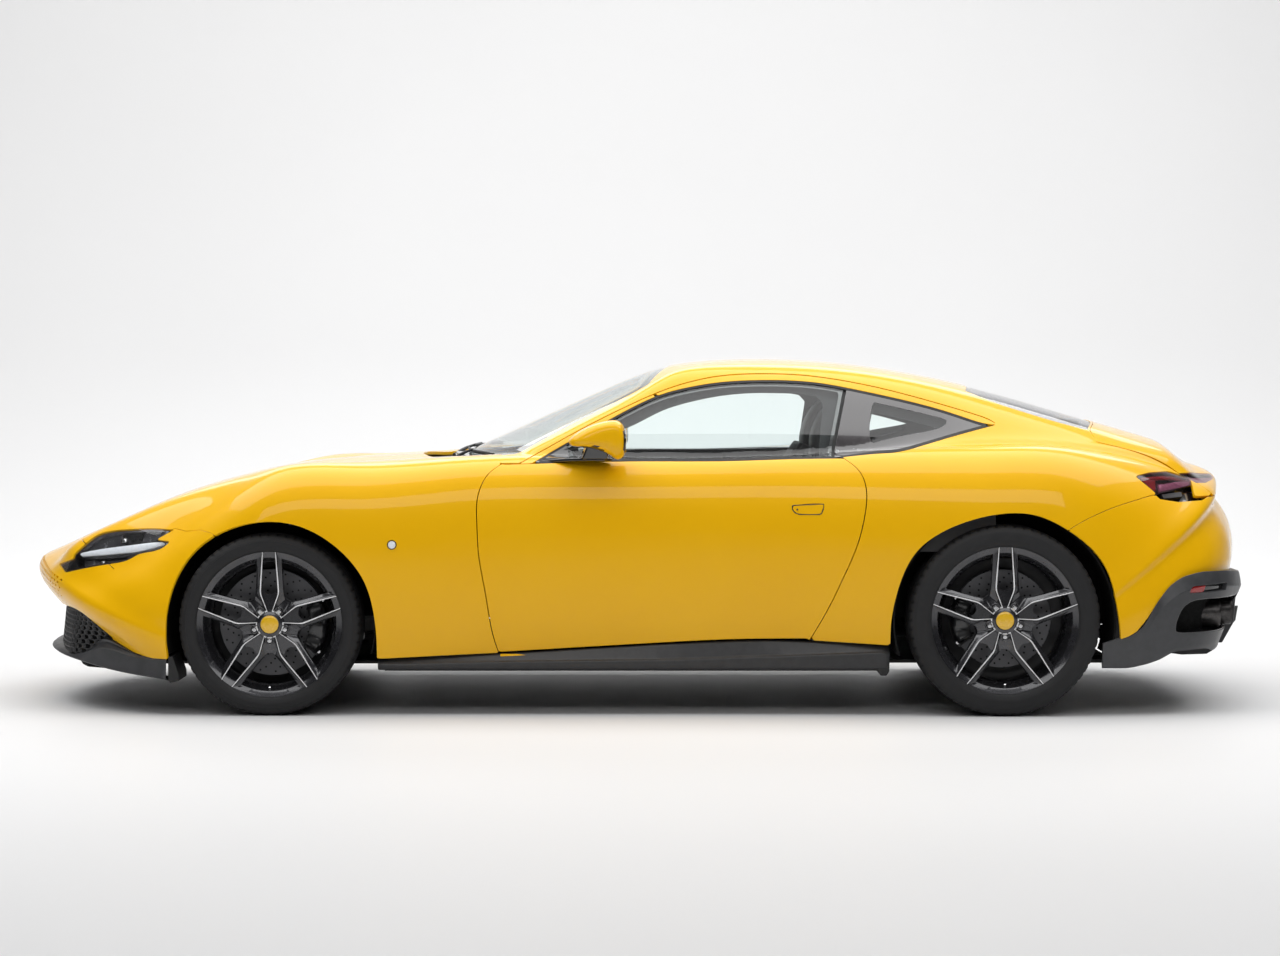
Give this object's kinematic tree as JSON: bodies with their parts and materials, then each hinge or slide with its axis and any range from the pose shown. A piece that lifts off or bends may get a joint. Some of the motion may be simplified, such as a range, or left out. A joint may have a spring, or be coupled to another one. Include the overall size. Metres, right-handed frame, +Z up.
{
  "type": "coupe car",
  "caption": "Two-door fastback coupe with opening doors, hood and boot lid, steered front wheels and rolling wheels.",
  "frame": {"origin": "middle of the length and width on the ground the tyres stand on", "axes": "+X toward the tail, nose toward -X; +Y to the car's right side; +Z up"},
  "size_m": [4.6529, 2.061, 1.301],
  "materials": {
    "body_paint": "gloss solid yellow over primer",
    "tyre": "matte",
    "rim": "dark grey with machined faces",
    "brake_disc": "ground",
    "cast_alloy": "cast",
    "glass": "tinted",
    "lamp_clear": "clear over dark housing",
    "lamp_red": "smoked",
    "seat_leather": "grained",
    "engine": "cast",
    "structure": "satin black",
    "dark_metal": "dark",
    "interior_trim": "grained",
    "black_trim": "satin"
  },
  "bodies": {
    "body": {"cowl": "black_trim", "dashboard": "interior_trim", "engine_block": "engine", "exhaust": "dark_metal", "floor_pan": "structure", "front_bumper": "body_paint", "front_fenders": "body_paint", "front_liners": "black_trim", "front_seats": "seat_leather", "front_splitter": "black_trim", "headlights": "lamp_clear", "intake_grille": "black_trim", "quarter_windows": "glass", "rear_bumper": "body_paint", "rear_diffuser": "black_trim", "rear_knuckles": "cast_alloy", "rear_liners": "black_trim", "rear_quarters": "body_paint", "rear_seat": "seat_leather", "rear_window": "glass", "roof": "body_paint", "sills": "black_trim", "steering_wheel": "interior_trim", "subframes": "structure", "tail_lights": "lamp_red", "windscreen": "glass"},
    "hood": {"hood": "body_paint"},
    "boot_lid": {"boot_lid": "body_paint", "lid_lamps": "lamp_red"},
    "door_left": {"door_left": "body_paint", "door_glass_left": "glass", "mirror_left": "body_paint"},
    "door_right": {"door_right": "body_paint", "door_glass_right": "glass", "mirror_right": "body_paint"},
    "wheel_front_left": {"wheel_front_left": "rim", "tyre_front_left": "tyre", "brake_disc_front_left": "brake_disc"},
    "wheel_front_right": {"wheel_front_right": "rim", "tyre_front_right": "tyre", "brake_disc_front_right": "brake_disc"},
    "wheel_rear_left": {"wheel_rear_left": "rim", "tyre_rear_left": "tyre", "brake_disc_rear_left": "brake_disc"},
    "wheel_rear_right": {"wheel_rear_right": "rim", "tyre_rear_right": "tyre", "brake_disc_rear_right": "brake_disc"},
    "knuckle_left": {"knuckle_front_left": "cast_alloy"},
    "knuckle_right": {"knuckle_front_right": "cast_alloy"}
  },
  "joints": [
    {"name": "hood_hinge", "type": "hinge", "parent": "body", "child": "hood", "pos_m": [-0.7, 0, 0.9], "axis": [0, 1, 0], "range_deg": [0, 50]},
    {"name": "boot_hinge", "type": "hinge", "parent": "body", "child": "boot_lid", "pos_m": [1.69, 0, 1.045], "axis": [0, -1, 0], "range_deg": [0, 70]},
    {"name": "door_left_hinge", "type": "hinge", "parent": "body", "child": "door_left", "pos_m": [-0.59, -0.935, 0.55], "axis": [0, 0, -1], "range_deg": [0, 62]},
    {"name": "door_right_hinge", "type": "hinge", "parent": "body", "child": "door_right", "pos_m": [-0.59, 0.935, 0.55], "axis": [0, 0, 1], "range_deg": [0, 62]},
    {"name": "steer_left", "type": "hinge", "parent": "body", "child": "knuckle_left", "pos_m": [-1.337, -0.79, 0.332], "axis": [0, 0, 1], "range_deg": [-32, 32]},
    {"name": "steer_right", "type": "hinge", "parent": "body", "child": "knuckle_right", "pos_m": [-1.337, 0.79, 0.332], "axis": [0, 0, 1], "range_deg": [-32, 32]},
    {"name": "spin_front_left", "type": "hinge", "parent": "knuckle_left", "child": "wheel_front_left", "pos_m": [-1.337, -0.826, 0.332], "axis": [0, 1, 0], "continuous": true},
    {"name": "spin_front_right", "type": "hinge", "parent": "knuckle_right", "child": "wheel_front_right", "pos_m": [-1.337, 0.826, 0.332], "axis": [0, 1, 0], "continuous": true},
    {"name": "spin_rear_left", "type": "hinge", "parent": "body", "child": "wheel_rear_left", "pos_m": [1.333, -0.8395, 0.348], "axis": [0, 1, 0], "continuous": true},
    {"name": "spin_rear_right", "type": "hinge", "parent": "body", "child": "wheel_rear_right", "pos_m": [1.333, 0.8395, 0.348], "axis": [0, 1, 0], "continuous": true}
  ],
  "couplings": [
    {"joint": "steer_right", "follows": "steer_left", "ratio": 1}
  ]
}
